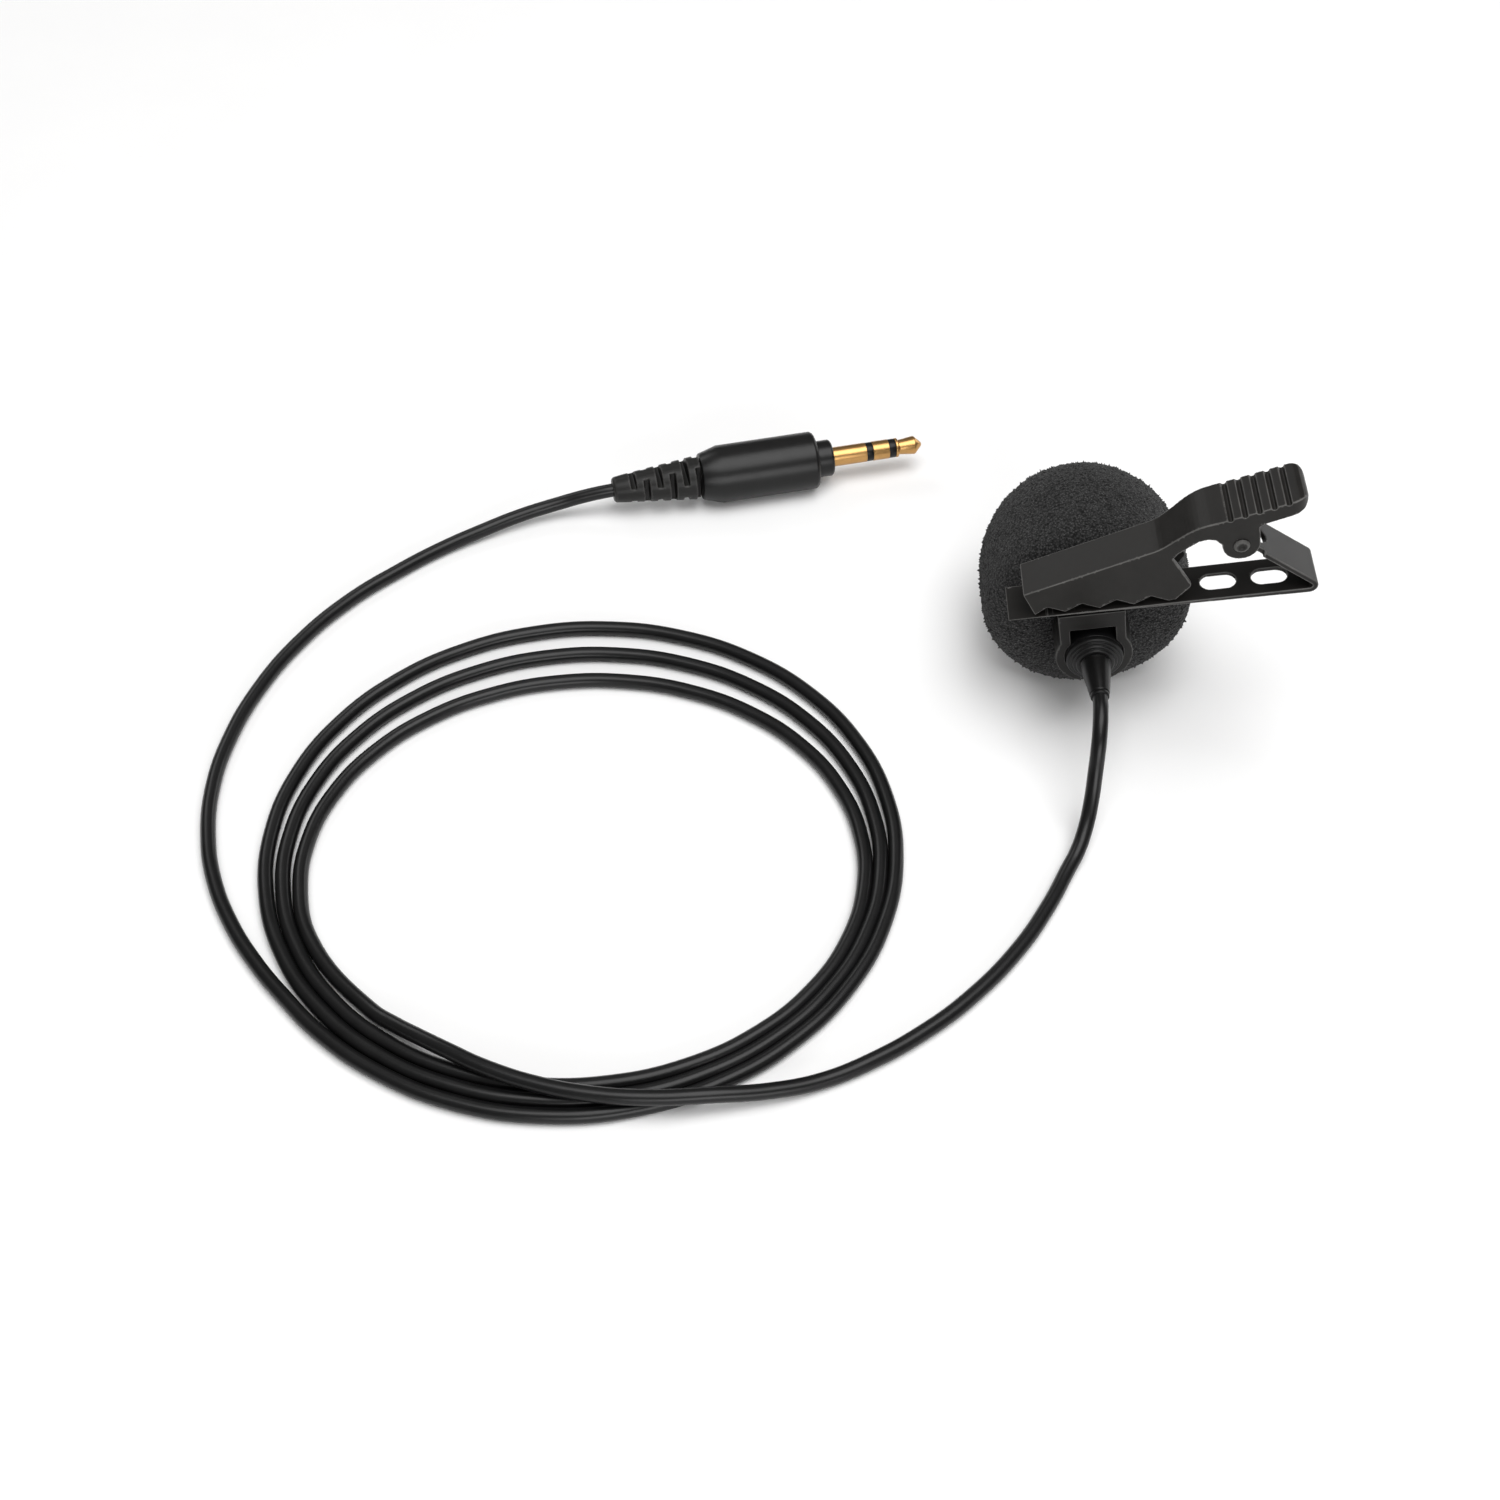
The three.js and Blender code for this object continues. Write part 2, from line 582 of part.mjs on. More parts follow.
function plugPin() {
  const gap = 0.03;
  const bore = CORE_R + 0.05;
  const at = (share) => SHOULDER + share * PIN_LENGTH;
  const stations = { sleeve: at(0.38), rear: at(0.45), ring: at(0.63), front: at(0.7), end: at(1) };
  const rearEnd = BODY_END - 7;
  const contact = (name, y0, y1) => part(name, tube(bore, PLUG_PIN_R, y0 + gap, y1 - gap, 40), looks.gold);
  const washer = (name, y0, y1) => part(name, tube(bore, PLUG_PIN_R - 0.05, y0, y1, 40), looks.insulator);
  const tip = turned(
    [
      [0, rearEnd - 1], [CORE_R, rearEnd - 1], [CORE_R, stations.front + gap], [1.65, stations.front + gap],
      [PLUG_PIN_R, stations.front + 0.15], [PLUG_PIN_R, at(0.73)], [1.3, at(0.742)], [1.34, at(0.757)],
      [1.66, at(0.91)], [1.56, at(0.925)], [0.45, at(0.99)], [0.2, stations.end], [0, stations.end],
    ],
    40,
  );
  return [
    contact("plug_sleeve", rearEnd, stations.sleeve),
    washer("plug_insulator_rear", stations.sleeve, stations.rear),
    contact("plug_ring", stations.rear, stations.ring),
    washer("plug_insulator_front", stations.ring, stations.front),
    part("plug_tip", tip, looks.gold),
    part("plug_crimp", pinAlongY(1.6, BODY_END - 11.8, rearEnd - 1.2, 0, 0, 24), looks.steel),
  ];
}

const PLUG_START = { x: -79.8, y: 52.9 };
const PLUG_HEADING = THREE.MathUtils.degToRad(12.6);

function plug() {
  const group = new THREE.Group();
  group.add(plugBoot(), plugBody(), plugCollar(), ...plugPin());
  group.position.set(PLUG_START.x, PLUG_START.y, PLUG_BODY_R);
  group.rotation.z = PLUG_HEADING - Math.PI / 2;
  return group;
}

// ---------- cord ----------

// Turns of the coil widen steadily; n counts turns from the near side, clockwise seen from above.
const COIL_START = 0.12;
const COIL_END = 3.1;

function coilAt(n) {
  const a = n * Math.PI * 2;
  const centre = { x: -81.85 - 0.2 * n, y: -30.2 + 1.8 * n };
  const half = { x: 42.8 + 2.7 * n, y: 37.25 + 4.3 * n };
  return [centre.x - half.x * Math.sin(a), centre.y - half.y * Math.cos(a)];
}

// From the strain relief down to the ground, then up and over the coil's near side.
const FROM_MIC = [
  [0, RELIEF_TIP_Y - FACE_GAP, WINDSCREEN_R], [-0.2, -11.5, 16.6], [-0.4, -13.8, 15.5], [-0.6, -15.6, 13.8],
  [-0.9, -17.8, 10], [-1.4, -20.6, 6.2], [-2.3, -23.7, 3.5], [-3.7, -27.1, 2], [-5.5, -30.4, 1.4],
  [-8.8, -36.8, CORD_R], [-14.5, -45.7, CORD_R], [-22.7, -54.9, CORD_R], [-29.4, -60.5, CORD_R],
  [-36.8, -65.3, CORD_R], [-44.5, -69, CORD_R], [-52, -71.4, 2.2], [-60.5, -73, 3.8], [-70, -73.6, 4],
  [-78, -73, 4], [-86, -71.3, 4], [-94, -68.3, 4], [-99, -65.6, 4],
];

// From the coil round the far left and up to the boot of the plug.
const TO_PLUG = [
  [-112.85, -65.35, CORD_R], [-118.9, -60.6, CORD_R], [-124.6, -54.6, CORD_R], [-129.9, -48.2, CORD_R],
  [-135, -40.4, CORD_R], [-138.8, -32.1, CORD_R], [-140.9, -24.3, CORD_R], [-141.9, -14, CORD_R],
  [-140.8, -3.2, CORD_R], [-137.4, 8.5, CORD_R], [-132.1, 19.2, CORD_R], [-124.7, 29.1, CORD_R],
  [-116.7, 36.6, CORD_R], [-110.1, 41.8, 1.3], [-103.3, 45.8, 1.7], [-96.3, 48.9, 2.4], [-89.2, 50.9, 3.3],
];

function cord() {
  const fromMic = FROM_MIC.map((point) => new THREE.Vector3(...point));
  const toPlug = TO_PLUG.map((point) => new THREE.Vector3(...point));
  const heading = new THREE.Vector3(Math.cos(PLUG_HEADING), Math.sin(PLUG_HEADING), 0);
  const boot = new THREE.Vector3(PLUG_START.x, PLUG_START.y, PLUG_BODY_R);
  toPlug.push(boot.clone().addScaledVector(heading, -5).setZ(PLUG_BODY_R - 0.8));
  toPlug.push(boot.clone().addScaledVector(heading, -FACE_GAP));
  return [
    part("cord_from_mic", wireAlong(fromMic, CORD_R, CORD_SIDES), looks.cord),
    part("cord_coil", coil(), looks.cord),
    part("cord_to_plug", wireAlong(toPlug, CORD_R, CORD_SIDES), looks.cord),
  ];
}

// The coil's outer shape: the band between its first and last turn.
function coil() {
  const segments = 72;
  const edge = (first, grow) => {
    const points = [];
    for (let i = 0; i < segments; i++) {
      const n = first + i / segments;
      const [x, y] = coilAt(n);
      const a = n * Math.PI * 2;
      points.push([x - grow * Math.sin(a), y - grow * Math.cos(a)]);
    }
    return points;
  };
  const band = outline(edge(COIL_END - 1, CORD_R));
  band.holes.push(outline(edge(COIL_START, -CORD_R).toReversed()));
  return sweptUp(band, 0, 2 * CORD_R);
}

// ---------- assembly ----------

const clip = new THREE.Group();
clip.add(
  holder(),
  holderRivet("holder_rivet_left", -RIVET_X),
  holderRivet("holder_rivet_right", RIVET_X),
  clipPlate(),
  pivotPin(),
  torsionSpring(),
  clipLever(),
);
clip.rotation.y = -CLIP_ROLL;

const head = new THREE.Group();
head.add(windscreen(), barrel(), grille(), ...capsuleStack(), rearCollar(), strainRelief());
head.add(...cordEndInBarrel(), clip);
head.position.z = WINDSCREEN_R;

const microphone = new THREE.Group();
microphone.add(head, plug(), ...cord());

// The origin is under the middle of the head, on the ground.
const middle = new THREE.Box3().setFromObject(head, true).getCenter(new THREE.Vector3());
microphone.position.set(-middle.x, -middle.y, 0);

export default microphone;
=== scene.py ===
"""Looks for the lavalier microphone: foam, coated clip, rubber cord and gilt plug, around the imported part."""

import json
import math

import bmesh
import bpy
import numpy as np
from mathutils import Matrix, Vector, noise


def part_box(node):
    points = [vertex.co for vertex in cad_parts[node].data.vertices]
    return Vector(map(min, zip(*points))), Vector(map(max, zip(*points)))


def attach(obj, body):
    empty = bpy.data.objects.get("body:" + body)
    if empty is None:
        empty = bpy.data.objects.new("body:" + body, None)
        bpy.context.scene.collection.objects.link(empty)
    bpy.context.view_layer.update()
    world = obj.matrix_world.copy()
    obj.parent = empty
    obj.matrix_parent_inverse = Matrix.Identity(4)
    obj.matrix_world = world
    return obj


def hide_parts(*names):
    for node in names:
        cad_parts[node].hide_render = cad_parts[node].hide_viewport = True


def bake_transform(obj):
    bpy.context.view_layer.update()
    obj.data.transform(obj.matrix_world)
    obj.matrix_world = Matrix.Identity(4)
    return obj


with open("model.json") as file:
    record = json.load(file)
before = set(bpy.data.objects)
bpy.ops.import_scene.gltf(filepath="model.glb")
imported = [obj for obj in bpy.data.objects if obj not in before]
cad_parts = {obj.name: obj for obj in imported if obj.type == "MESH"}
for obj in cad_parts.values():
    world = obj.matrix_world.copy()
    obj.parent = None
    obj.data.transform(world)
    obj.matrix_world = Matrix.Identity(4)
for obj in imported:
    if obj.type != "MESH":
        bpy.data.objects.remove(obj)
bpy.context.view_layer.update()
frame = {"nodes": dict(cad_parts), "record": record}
MM = 0.001

# ---------- places, from the frame ----------

BARREL_LOW, BARREL_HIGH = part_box("capsule_barrel")
FOAM_LOW, FOAM_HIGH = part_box("foam_windscreen")
AXIS_X = (BARREL_LOW.x + BARREL_HIGH.x) / 2
AXIS_Z = (BARREL_LOW.z + BARREL_HIGH.z) / 2
COLLAR_SHOWS = 0.95 * MM
REAR_Y = BARREL_LOW.y - COLLAR_SHOWS
CLIP_ROLL = math.radians(8.9)
BODIES = frame["record"]["behaviour"]["bodies"]
BODY_OF = {node: body for body, nodes in BODIES.items() for node in nodes}
SLOT_OF = {row["node"]: row["material_slot"] for row in frame["record"]["subparts"]}


def at(x, y, z):
    """A point in mm from the middle of the capsule's rear: right, towards the windscreen, above the floor."""
    return Vector((AXIS_X + x * MM, REAR_Y + y * MM, z * MM))


def centre(node):
    low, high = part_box(node)
    return (low + high) / 2


# ---------- camera, floor and light ----------

LOOKED_AT = at(-50, 0, 0)
LENS = 53.76
SENSOR = 36
CAMERA_AT = at(-55.18, -246.05, 278)
LOOKS_DOWN = 49
FLOOR_HALF = 3.0
PAPER = (0.88, 0.88, 0.88)


def camera():
    data = bpy.data.cameras.new("camera")
    data.sensor_width = SENSOR
    data.lens = LENS
    data.clip_start = 0.01
    data.clip_end = 20
    made = bpy.data.objects.new("camera", data)
    made.location = CAMERA_AT
    made.rotation_euler = (math.radians(90 - LOOKS_DOWN), 0, 0)
    bpy.context.scene.collection.objects.link(made)
    bpy.context.scene.camera = made


def softbox(name, offset, size, radiance):
    """A panel that faces the object, equally bright wherever it is seen from."""
    data = bpy.data.lights.new(name, "AREA")
    data.shape = "RECTANGLE"
    data.size, data.size_y = size
    data.energy = radiance * math.pi * size[0] * size[1]
    made = bpy.data.objects.new(name, data)
    made.location = LOOKED_AT + Vector(offset)
    made.rotation_euler = (-Vector(offset)).to_track_quat("-Z", "Y").to_euler()
    bpy.context.scene.collection.objects.link(made)


def sky(horizon, zenith):
    """A studio that is dim at eye level and brighter overhead, so that upright faces stay dark."""
    world = bpy.data.worlds.new("studio")
    world.use_nodes = True
    nodes = world.node_tree.nodes
    links = world.node_tree.links
    direction = nodes.new("ShaderNodeTexCoord")
    split = nodes.new("ShaderNodeSeparateXYZ")
    shade = nodes.new("ShaderNodeMapRange")
    shade.interpolation_type = "SMOOTHSTEP"
    shade.inputs["To Min"].default_value = horizon
    shade.inputs["To Max"].default_value = zenith
    links.new(direction.outputs["Generated"], split.inputs["Vector"])
    links.new(split.outputs["Z"], shade.inputs["Value"])
    links.new(shade.outputs["Result"], nodes["Background"].inputs["Strength"])
    nodes["Background"].inputs["Color"].default_value = (1, 0.99, 0.98, 1)
    bpy.context.scene.world = world
    bpy.context.scene.view_settings.view_transform = "Standard"


def studio():
    softbox("top", (0.15, -0.12, 0.98), (0.9, 0.8), 4.3)
    softbox("back left", (-0.55, 0.85, 0.75), (0.6, 0.4), 2.7)
    softbox("low front", (0.25, -1.0, 0.3), (0.8, 0.45), 5)
    softbox("low right", (0.8, 0.75, 0.2), (0.5, 0.3), 3)
    sky(0.08, 0.35)


def floor():
    signs = ((-1, -1), (1, -1), (1, 1), (-1, 1))
    corners = [(x * FLOOR_HALF, y * FLOOR_HALF, 0) for x, y in signs]
    mesh = bpy.data.meshes.new("floor")
    mesh.from_pydata(corners, [], [(0, 1, 2, 3)])
    made = bpy.data.objects.new("floor", mesh)
    paper = coloured("floor_paper", PAPER, 0.9, grain=2, bump=0.02, variation=0.005)
    made.data.materials.append(paper)
    bpy.context.scene.collection.objects.link(made)


# ---------- materials ----------

# The mix node's colour sockets, which share their names with its number and vector sockets.
MIX_A = 6
MIX_B = 7
MIX_RESULT = 2


class Look:
    """A node material on object coordinates, built up step by step."""

    def __init__(self, name, **sockets):
        self.material = bpy.data.materials.new(name)
        self.material.use_nodes = True
        self.tree = self.material.node_tree
        self.shader = self.tree.nodes["Principled BSDF"]
        self.place = self.node("ShaderNodeTexCoord").outputs["Object"]
        self.normal = None
        for socket, value in sockets.items():
            self.shader.inputs[socket.replace("_", " ").title().replace("Ior", "IOR")].default_value = value

    def node(self, kind, **settings):
        made = self.tree.nodes.new(kind)
        for key, value in settings.items():
            setattr(made, key, value)
        return made

    def link(self, output, node, socket):
        self.tree.links.new(output, node.inputs[socket])

    def grain(self, size, detail=3.0, roughness=0.55):
        """Noise whose lumps are about size millimetres."""
        made = self.node("ShaderNodeTexNoise")
        made.inputs["Scale"].default_value = 1 / (size * MM)
        made.inputs["Detail"].default_value = detail
        made.inputs["Roughness"].default_value = roughness
        self.link(self.place, made, "Vector")
        return made.outputs["Fac"]

    def cells(self, size, randomness=1.0):
        """Distance from the middles of cells about size millimetres across."""
        made = self.node("ShaderNodeTexVoronoi")
        made.inputs["Scale"].default_value = 1 / (size * MM)
        made.inputs["Randomness"].default_value = randomness
        self.link(self.place, made, "Vector")
        return made.outputs["Distance"]

    def ramp(self, value, stops):
        """A value turned into colours: stops are (position, grey or colour)."""
        made = self.node("ShaderNodeValToRGB")
        while len(made.color_ramp.elements) < len(stops):
            made.color_ramp.elements.new(0.5)
        for element, (position, colour) in zip(made.color_ramp.elements, stops):
            element.position = position
            grey = isinstance(colour, (int, float))
            element.color = (colour, colour, colour, 1) if grey else (*colour, 1)
        self.link(value, made, "Fac")
        return made.outputs["Color"]

    def mix(self, a, b, blend):
        """A mix node for colours a and b."""
        made = self.node("ShaderNodeMix", data_type="RGBA", blend_type=blend)
        self.link(a, made, MIX_A)
        self.link(b, made, MIX_B)
        return made

    def mixed(self, a, b, factor):
        """Colour a where factor is 0 and colour b where it is 1."""
        made = self.mix(a, b, "MIX")
        self.link(factor, made, "Factor")
        return made.outputs[MIX_RESULT]

    def times(self, a, b):
        """Two colours multiplied."""
        made = self.mix(a, b, "MULTIPLY")
        made.inputs["Factor"].default_value = 1
        return made.outputs[MIX_RESULT]

    def colour(self, output):
        self.link(output, self.shader, "Base Color")

    def roughness(self, value, low, high):
        """Roughness from low to high, as value goes from 0 to 1."""
        made = self.node("ShaderNodeMapRange")
        made.inputs["To Min"].default_value = low
        made.inputs["To Max"].default_value = high
        self.link(value, made, "Value")
        self.link(made.outputs["Result"], self.shader, "Roughness")

    def bump(self, height, strength, distance):
        """Adds relief of a depth in millimetres on top of the relief there is."""
        made = self.node("ShaderNodeBump")
        made.inputs["Strength"].default_value = strength
        made.inputs["Distance"].default_value = distance * MM
        self.link(height, made, "Height")
        if self.normal is not None:
            self.link(self.normal, made, "Normal")
        self.normal = made.outputs["Normal"]
        self.link(self.normal, self.shader, "Normal")


def shades(colour, variation):
    """A darker and a lighter version of a colour."""
    dark = tuple(c * (1 - variation) for c in colour)
    light = tuple(min(c * (1 + variation), 1) for c in colour)
    return dark, light


def coloured(name, colour, roughness, grain=0.3, bump=0.3, variation=0.15, **sockets):
    """Moulded or coated surface: slightly uneven colour and gloss, and a fine grain."""
    look = Look(name, **sockets)
    dark, light = shades(colour, variation)
    broad = look.grain(grain * 12, detail=4)
    fine = look.grain(grain, detail=2)
    look.colour(look.ramp(broad, [(0.35, dark), (0.65, light)]))
    look.roughness(broad, roughness - 0.06, roughness + 0.06)
    look.bump(fine, bump, grain * 0.08)
    return look.material


def coating_with_painted_edge_highlight(name, colour, edge_highlight, roughness, specular=0.16):
    """A dark coating with painted highlights along its edges, lighter where the surface is pointed, with a fine
    orange-peel grain.
    """
    look = Look(name, specular_ior_level=specular)
    dark, light = shades(colour, 0.12)
    broad = look.grain(3.5, detail=5)
    pointed = look.node("ShaderNodeNewGeometry").outputs["Pointiness"]
    # Painted highlight: where the surface is pointed, along its edges, the colour turns to the lighter edge
    # colour.
    edge_highlight_mask = look.ramp(pointed, [(0.506, 0.0), (0.524, 1.0)])
    base = look.ramp(broad, [(0.35, dark), (0.65, light)])
    dim_edge_highlight, bright_edge_highlight = shades(edge_highlight, 0.2)
    edge_highlight_tones = look.ramp(broad, [(0.35, dim_edge_highlight), (0.65, bright_edge_highlight)])
    look.colour(look.mixed(base, edge_highlight_tones, edge_highlight_mask))
    look.roughness(broad, roughness - 0.05, roughness + 0.07)
    look.bump(look.grain(0.16, detail=2), 0.3, 0.01)
    look.bump(look.grain(1.4, detail=1), 0.15, 0.015)
    return look.material


def foam_material():
    """Open cells: light struts round dark pores, whose darkness is painted shade, in patches of slightly
    different density.
    """
    look = Look("open_cell_foam", sheen_weight=0.1, sheen_roughness=0.6, specular_ior_level=0.1)
    cells = look.cells(0.36)
    fine = look.grain(0.13, detail=4, roughness=0.7)
    patches = look.grain(5, detail=3)
    # Painted shade: the colour is darkest far from the cells' middles, where the bump below presses the pores
    # in.
    pores = look.ramp(cells, [(0.1, 0.085), (0.4, 0.032), (0.75, 0.007)])
    specks = look.ramp(fine, [(0.4, 0.25), (0.64, 1.6)])
    tone = look.ramp(patches, [(0.3, 0.74), (0.7, 0.9)])
    look.colour(look.times(look.times(pores, specks), tone))
    look.roughness(fine, 0.9, 1.0)
    look.bump(cells, 0.7, -0.2)
    look.bump(fine, 0.5, 0.1)
    return look.material


def rubber(name, colour, roughness, grain=0.12, bump=0.2, specular=0.22):
    """Smooth soft plastic with faint scuffs."""
    look = Look(name, specular_ior_level=specular)
    dark, light = shades(colour, 0.2)
    broad = look.grain(4, detail=5)
    scuffs = look.grain(0.6, detail=6, roughness=0.75)
    look.colour(look.ramp(broad, [(0.35, dark), (0.65, light)]))
    look.roughness(scuffs, roughness - 0.06, roughness + 0.08)
    look.bump(look.grain(grain, detail=2), bump, 0.008)
    return look.material


def plated(name, colour, roughness):
    """Polished plated metal with fine wear."""
    look = Look(name, metallic=1.0)
    dark, light = shades(colour, 0.06)
    broad = look.grain(1.5, detail=4)
    look.colour(look.ramp(broad, [(0.35, dark), (0.65, light)]))
    look.roughness(look.grain(0.5, detail=4), roughness - 0.03, roughness + 0.03)
    look.bump(look.grain(0.9, detail=2), 0.02, 0.003)
    return look.material


def woven(name, colour):
    """Fine metal gauze."""
    look = Look(name, metallic=1.0)
    cells = look.cells(0.12, randomness=0.1)
    dark, light = shades(colour, 0.5)
    look.colour(look.ramp(cells, [(0.2, light), (0.6, dark)]))
    look.roughness(cells, 0.3, 0.5)
    look.bump(cells, 0.6, -0.04)
    return look.material


LOOKS = {
    "foam": foam_material(),
    "black_metal": coloured("satin_black_metal", (0.012, 0.012, 0.0125), 0.36, grain=0.2, metallic=0.5),
    "mesh": woven("gauze", (0.5, 0.5, 0.49)),
    "element": coloured("satin_aluminium", (0.7, 0.7, 0.69), 0.3, metallic=1.0),
    "rubber_seat": rubber("seat_rubber", (0.02, 0.02, 0.02), 0.7),
    "board": coloured("solder_mask", (0.02, 0.12, 0.05), 0.4),
    "crimp": coloured("crimp_steel", (0.55, 0.55, 0.54), 0.3, metallic=1.0),
    "copper": coloured("copper", (0.6, 0.3, 0.15), 0.3, metallic=1.0),
    "collar": coloured("collar_plastic", (0.007, 0.007, 0.007), 0.34, grain=0.15, specular_ior_level=0.22),
    "relief": rubber("relief_rubber", (0.004, 0.004, 0.004), 0.3, bump=0.08),
    # The holder's and clip's second colour is a painted highlight along their edges.
    "holder": coating_with_painted_edge_highlight("holder_coating", (0.009, 0.0085, 0.008), (0.05, 0.049, 0.047), 0.4),
    "clip_metal": coating_with_painted_edge_highlight("clip_coating", (0.0125, 0.0117, 0.0108), (0.085, 0.083, 0.08), 0.36),
    "spring_steel": coloured("spring_wire", (0.4, 0.4, 0.4), 0.28, metallic=1.0),
    "cord": rubber("cord_jacket", (0.005, 0.005, 0.0052), 0.3, specular=0.28),
    # The boot's second colour is a painted highlight along its edges.
    "plug_boot": coating_with_painted_edge_highlight("boot_rubber", (0.007, 0.0067, 0.0062), (0.03, 0.029, 0.028), 0.42, 0.24),
    "plug_body": coloured("plug_plastic", (0.004, 0.004, 0.004), 0.34, grain=0.18, specular_ior_level=0.28),
    "gold": plated("gold_plate", (0.5, 0.285, 0.105), 0.3),
    "insulator": rubber("insulator_plastic", (0.005, 0.005, 0.005), 0.3),
}


# ---------- pieces ----------

WELD = 0.002
FLAT = math.radians(0.5)
SHARP = math.radians(32)


def shown(name, data, node, *also_replaces):
    """A new piece that stands for a CAD node: it takes that node's slot and material."""
    made = bpy.data.objects.new(name, data)
    bpy.context.scene.collection.objects.link(made)
    data.materials.clear()
    data.materials.append(LOOKS[SLOT_OF[node]])
    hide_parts(node, *also_replaces)
    return made


def refined(node, width):
    """The CAD node's shape with its flats merged and its corners rounded by width millimetres."""
    body = bmesh.new()
    body.from_mesh(frame["nodes"][node].data)
    bmesh.ops.remove_doubles(body, verts=body.verts, dist=WELD * MM)
    bmesh.ops.dissolve_limit(body, angle_limit=FLAT, verts=body.verts, edges=body.edges)
    sharp = [e for e in body.edges if len(e.link_faces) == 2 and e.calc_face_angle() > SHARP]
    bmesh.ops.bevel(
        body,
        geom=sharp,
        offset=width * MM,
        segments=3,
        profile=0.5,
        affect="EDGES",
        clamp_overlap=True,
    )
    mesh = bpy.data.meshes.new(node + "_look")
    body.to_mesh(mesh)
    body.free()
    for face in mesh.polygons:
        face.use_smooth = True
    made = shown(node + "_look", mesh, node)
    made.modifiers.new("flat faces", "WEIGHTED_NORMAL").keep_sharp = True
    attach(made, BODY_OF[node])
    return made


def softened(node, voxel, passes, roll=0.0):
    """The CAD node's shape as an even skin of small faces, relaxed until its corners are round.
    The skin's grid is tilted by roll about Y, so that it lies along the flat faces of a tilted piece."""
    made = shown(node + "_look", frame["nodes"][node].data.copy(), node)
    levelled = Matrix.Rotation(roll, 4, "Y")
    made.data.transform(levelled)
    skin = made.modifiers.new("even skin", "REMESH")
    skin.mode = "VOXEL"
    skin.voxel_size = voxel * MM
    relax = made.modifiers.new("soft corners", "SMOOTH")
    relax.factor = 0.5
    relax.iterations = passes
    graph = bpy.context.evaluated_depsgraph_get()
    mesh = bpy.data.meshes.new_from_object(made.evaluated_get(graph))
    mesh.transform(levelled.inverted())
    mesh.name = node + "_look"
    mesh.materials.clear()
    mesh.materials.append(LOOKS[SLOT_OF[node]])
    for face in mesh.polygons:
        face.use_smooth = True
    made.modifiers.clear()
    made.data = mesh
    return made


def kept(node):
    """A CAD node that is shown as it is, in its own material."""
    data = frame["nodes"][node].data
    data.materials.clear()
    data.materials.append(LOOKS[SLOT_OF[node]])


# ---------- windscreen ----------

WAIST_Y = 18.6
REAR_SQUARENESS = 5
NOSE_SQUARENESS = 2.3
BORE_RADIUS = 4.8
BORE_END_Y = 23.4
BORE_STEP = 0.5
FOAM_COLUMNS = 500
FOAM_STEP = 0.22
REAR_SAMPLES = 200
NOSE_SAMPLES = 300

# Size and height in millimetres of the foam's lumps, cells, finer cells and loose struts.
LUMPS = (5, 0.08)
CELLS = (0.42, 0.13)
FINE_CELLS = (0.2, 0.13)
STRUTS = (0.26, 1.2)
STRUT_RARITY = 0.38
STRUT_SHIFT = Vector((9, 4, 7))


def foam_outline():
    """Points (radius, y) in millimetres, evenly spaced, from the rear rim of the bore round to the nose."""
    radius = (FOAM_HIGH.x - FOAM_LOW.x) / 2 / MM
    rear_y = (FOAM_LOW.y - REAR_Y) / MM
    nose_y = (FOAM_HIGH.y - REAR_Y) / MM
    rear_reach = WAIST_Y - rear_y + 0.1
    nose_reach = nose_y - WAIST_Y
    dense = [(BORE_RADIUS, rear_y)]
    for i in range(REAR_SAMPLES, -1, -1):
        distance = (WAIST_Y - rear_y) * math.sin(i / REAR_SAMPLES * math.pi / 2)
        share = 1 - (distance / rear_reach) ** REAR_SQUARENESS
        dense.append((radius * share ** (1 / REAR_SQUARENESS), WAIST_Y - distance))
    for i in range(1, NOSE_SAMPLES + 1):
        distance = nose_reach * math.sin(i / NOSE_SAMPLES * math.pi / 2)
        share = max(1 - (distance / nose_reach) ** NOSE_SQUARENESS, 0)
        dense.append((radius * share ** (1 / NOSE_SQUARENESS), WAIST_Y + distance))
    line = np.array(dense)
    along = np.concatenate([[0], np.cumsum(np.linalg.norm(np.diff(line, axis=0), axis=1))])
    stations = np.linspace(0, along[-1], int(along[-1] / FOAM_STEP) + 1)[:-1]
    return np.column_stack([np.interp(stations, along, line[:, 0]), np.interp(stations, along, line[:, 1])])


def foam_relief(place):
    """How far the skin stands out at a place, in millimetres: broad lumps, cells, and a few loose struts."""
    relief = 0
    for size, height in (LUMPS, CELLS, FINE_CELLS):
        relief += noise.noise(place / size) * height
    size, height = STRUTS
    return relief + max(noise.noise(place / size + STRUT_SHIFT) - STRUT_RARITY, 0) * height


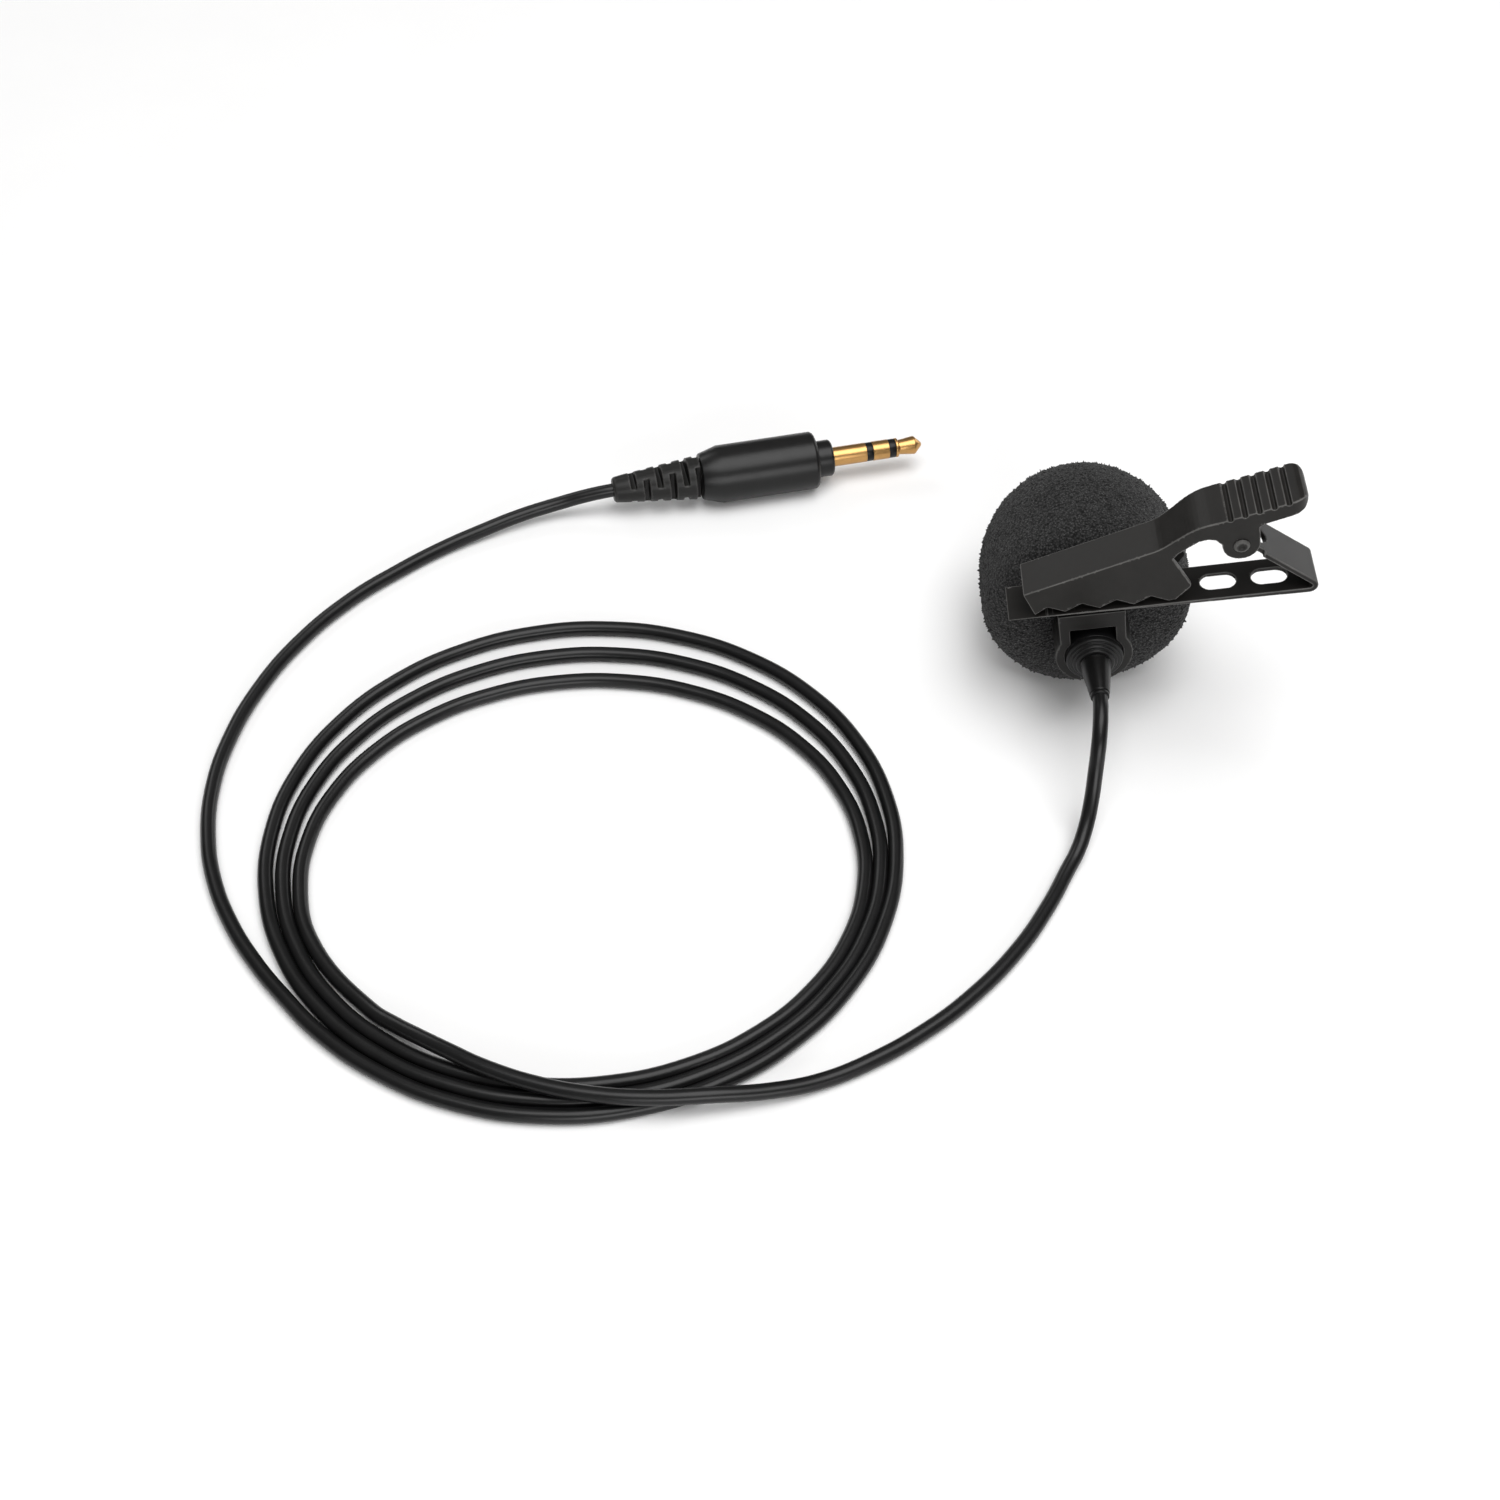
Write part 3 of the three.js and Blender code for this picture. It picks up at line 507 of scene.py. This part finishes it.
def foam_windscreen():
    """Open-cell foam: a dense skin pushed in at its pores and out at its loose struts."""
    outline = foam_outline()
    bore = [(BORE_RADIUS, y) for y in np.arange(BORE_END_Y, outline[0][1], -BORE_STEP)]
    outline = np.array([(BORE_RADIUS * 0.5, BORE_END_Y), *bore, *outline])
    slopes = np.gradient(outline, axis=0)
    slopes /= np.linalg.norm(slopes, axis=1)[:, None]
    vertices = []
    for (radius, y), (widening, advance) in zip(outline, slopes):
        for i in range(FOAM_COLUMNS):
            angle = i / FOAM_COLUMNS * math.tau
            outwards = Vector((math.cos(angle) * advance, -widening, math.sin(angle) * advance))
            place = Vector((radius * math.cos(angle), y, radius * math.sin(angle)))
            moved = place + outwards * foam_relief(place)
            vertices.append(at(moved.x, moved.y, max(moved.z + AXIS_Z / MM, 0.01)))
    last_row = (len(outline) - 1) * FOAM_COLUMNS
    faces = [tuple(range(FOAM_COLUMNS)), tuple(reversed(range(last_row, len(vertices))))]
    for start in range(0, last_row, FOAM_COLUMNS):
        above = start + FOAM_COLUMNS
        for i in range(FOAM_COLUMNS):
            j = (i + 1) % FOAM_COLUMNS
            faces.append((start + j, start + i, above + i, above + j))
    mesh = bpy.data.meshes.new("windscreen_foam")
    mesh.from_pydata(vertices, [], faces)
    for face in mesh.polygons:
        face.use_smooth = True
    made = shown("windscreen_foam", mesh, "foam_windscreen")
    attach(made, BODY_OF["foam_windscreen"])


# ---------- cord ----------

CORD_RADIUS = 1.225
HEAD_HEIGHT = 17
RELIEF_TIP_Y = -8.3
OVER_COIL = 3.95
COIL_START = 0.19
COIL_END = 3.09
COIL_KNOTS_PER_TURN = 24

# The coil's middle and half width and depth at its start, and what each turn adds to them.
COIL_MIDDLE = (-81.85, -30.2)
COIL_DRIFT = (-0.2, 1.8)
COIL_REACH = (42.8, 37.25)
COIL_SPREAD = (2.7, 4.3)

# How far the cord runs into the boot, and its last point outside: back along the axis, beside and below.
BOOT_ENTRY = 1.5
BOOT_APPROACH = 5
BOOT_DROOP = Vector((0, -0.44, 0.8))

# From inside the strain relief to the floor, up over the coil's near side and down inside it.
FROM_MIC = [
    (0, RELIEF_TIP_Y + 2, HEAD_HEIGHT), (0, RELIEF_TIP_Y - 0.3, HEAD_HEIGHT), (-0.2, -11.5, 16.6),
    (-0.4, -13.8, 15.5), (-0.6, -15.6, 13.8), (-0.9, -17.8, 10), (-1.4, -20.6, 6.2),
    (-2.3, -23.7, 3.5), (-3.7, -27.1, 2), (-5.5, -30.4, 1.4), (-8.8, -36.8, CORD_RADIUS),
    (-14.5, -45.7, CORD_RADIUS), (-22.7, -54.9, CORD_RADIUS), (-29.4, -60.5, CORD_RADIUS),
    (-36.8, -65.3, CORD_RADIUS), (-44.5, -69, 1.3), (-52, -71.4, 2.3), (-60.5, -73, 3.7),
    (-70, -73.6, OVER_COIL), (-78, -73, OVER_COIL), (-86, -71.3, OVER_COIL),
    (-94, -68.3, OVER_COIL), (-99, -65.6, 3.8), (-103.5, -62.8, 3.2), (-107.3, -60.2, 2.4),
    (-111.5, -56.9, 1.6),
]

# From the coil round the far left and up into the plug's boot.
TO_PLUG = [
    (-118.9, -60.6, CORD_RADIUS), (-124.6, -54.6, CORD_RADIUS), (-129.9, -48.2, CORD_RADIUS),
    (-135, -40.4, CORD_RADIUS), (-138.8, -32.1, CORD_RADIUS), (-140.9, -24.3, CORD_RADIUS),
    (-141.9, -14, CORD_RADIUS), (-140.8, -3.2, CORD_RADIUS), (-137.4, 8.5, CORD_RADIUS),
    (-132.1, 19.2, CORD_RADIUS), (-124.7, 29.1, CORD_RADIUS), (-116.7, 36.6, CORD_RADIUS),
    (-110.1, 41.8, 1.3), (-103.3, 45.9, 1.7), (-96.3, 49.3, 2.4), (-89.2, 51.6, 3.3),
]


def coil_turns():
    """The coiled turns, which widen steadily from the inside, clockwise seen from above."""
    points = []
    count = round((COIL_END - COIL_START) * COIL_KNOTS_PER_TURN)
    for i in range(count + 1):
        n = COIL_START + (COIL_END - COIL_START) * i / count
        angle = n * math.tau
        middle = [m + d * n for m, d in zip(COIL_MIDDLE, COIL_DRIFT)]
        reach = [r + s * n for r, s in zip(COIL_REACH, COIL_SPREAD)]
        x = middle[0] - reach[0] * math.sin(angle)
        y = middle[1] - reach[1] * math.cos(angle)
        points.append((x, y, CORD_RADIUS))
    return points


def boot_tip():
    """The middle of the boot's tip and the direction from there to the plug's tip."""
    on_axis = centre("plug_ring")
    along = (on_axis - centre("plug_sleeve")).normalized()
    reach = max((on_axis - v.co).dot(along) for v in frame["nodes"]["plug_boot"].data.vertices)
    return on_axis - along * reach, along


def cord():
    tip, along = boot_tip()
    approach = tip - along * BOOT_APPROACH * MM - BOOT_DROOP * MM
    points = [at(*p) for p in FROM_MIC + coil_turns() + TO_PLUG]
    points += [approach, tip, tip + along * BOOT_ENTRY * MM]
    data = bpy.data.curves.new("microphone_cord", "CURVE")
    data.dimensions = "3D"
    spline = data.splines.new("BEZIER")
    spline.bezier_points.add(len(points) - 1)
    for knot, place in zip(spline.bezier_points, points):
        knot.co = place
        knot.handle_left_type = knot.handle_right_type = "AUTO"
    data.bevel_depth = CORD_RADIUS * MM
    data.bevel_resolution = 6
    data.resolution_u = 8
    data.use_fill_caps = True
    made = shown("microphone_cord", data, "cord_coil", "cord_from_mic", "cord_to_plug")
    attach(made, BODY_OF["cord_coil"])
    return made


# ---------- torsion spring ----------


def torsion_spring():
    """The torsion spring as a softened skin, one arm on the clip's leg and the other on the handle, baked where
    it stands.
    """
    made = softened("torsion_spring", 0.07, 3, CLIP_ROLL)
    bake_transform(made)


# ---------- everything ----------

# Corner radii in millimetres of the turned pieces.
TURNED = {
    "capsule_grille": 0.08,
    "capsule_barrel": 0.06,
    "rear_collar": 0.08,
    "strain_relief": 0.08,
    "holder_rivet_left": 0.08,
    "holder_rivet_right": 0.08,
    "pivot_pin": 0.06,
}
TURNED_ON_PLUG = {
    "plug_body": 0.3,
    "plug_collar": 0.12,
    "plug_sleeve": 0.05,
    "plug_insulator_rear": 0.02,
    "plug_ring": 0.05,
    "plug_insulator_front": 0.02,
    "plug_tip": 0.05,
}

# Skin spacing in millimetres and relaxing passes of the bent, cut and pierced pieces.
CUT = {
    "clip_holder": (0.1, 8),
    "clip_plate": (0.1, 6),
    "clip_lever": (0.1, 7),
}
HIDDEN = [
    "acoustic_mesh", "electret_capsule", "capsule_seat", "capsule_board", "cord_core", "cord_crimp",
    "plug_crimp",
]

camera()
studio()
floor()
foam_windscreen()
for node, width in TURNED.items():
    refined(node, width)
for node, (voxel, passes) in CUT.items():
    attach(softened(node, voxel, passes, CLIP_ROLL), BODY_OF[node])
torsion_spring()

boot = softened("plug_boot", 0.14, 5)
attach(boot, BODY_OF["plug_boot"])
plug = [boot] + [refined(node, width) for node, width in TURNED_ON_PLUG.items()]
cord()
for node in HIDDEN:
    kept(node)
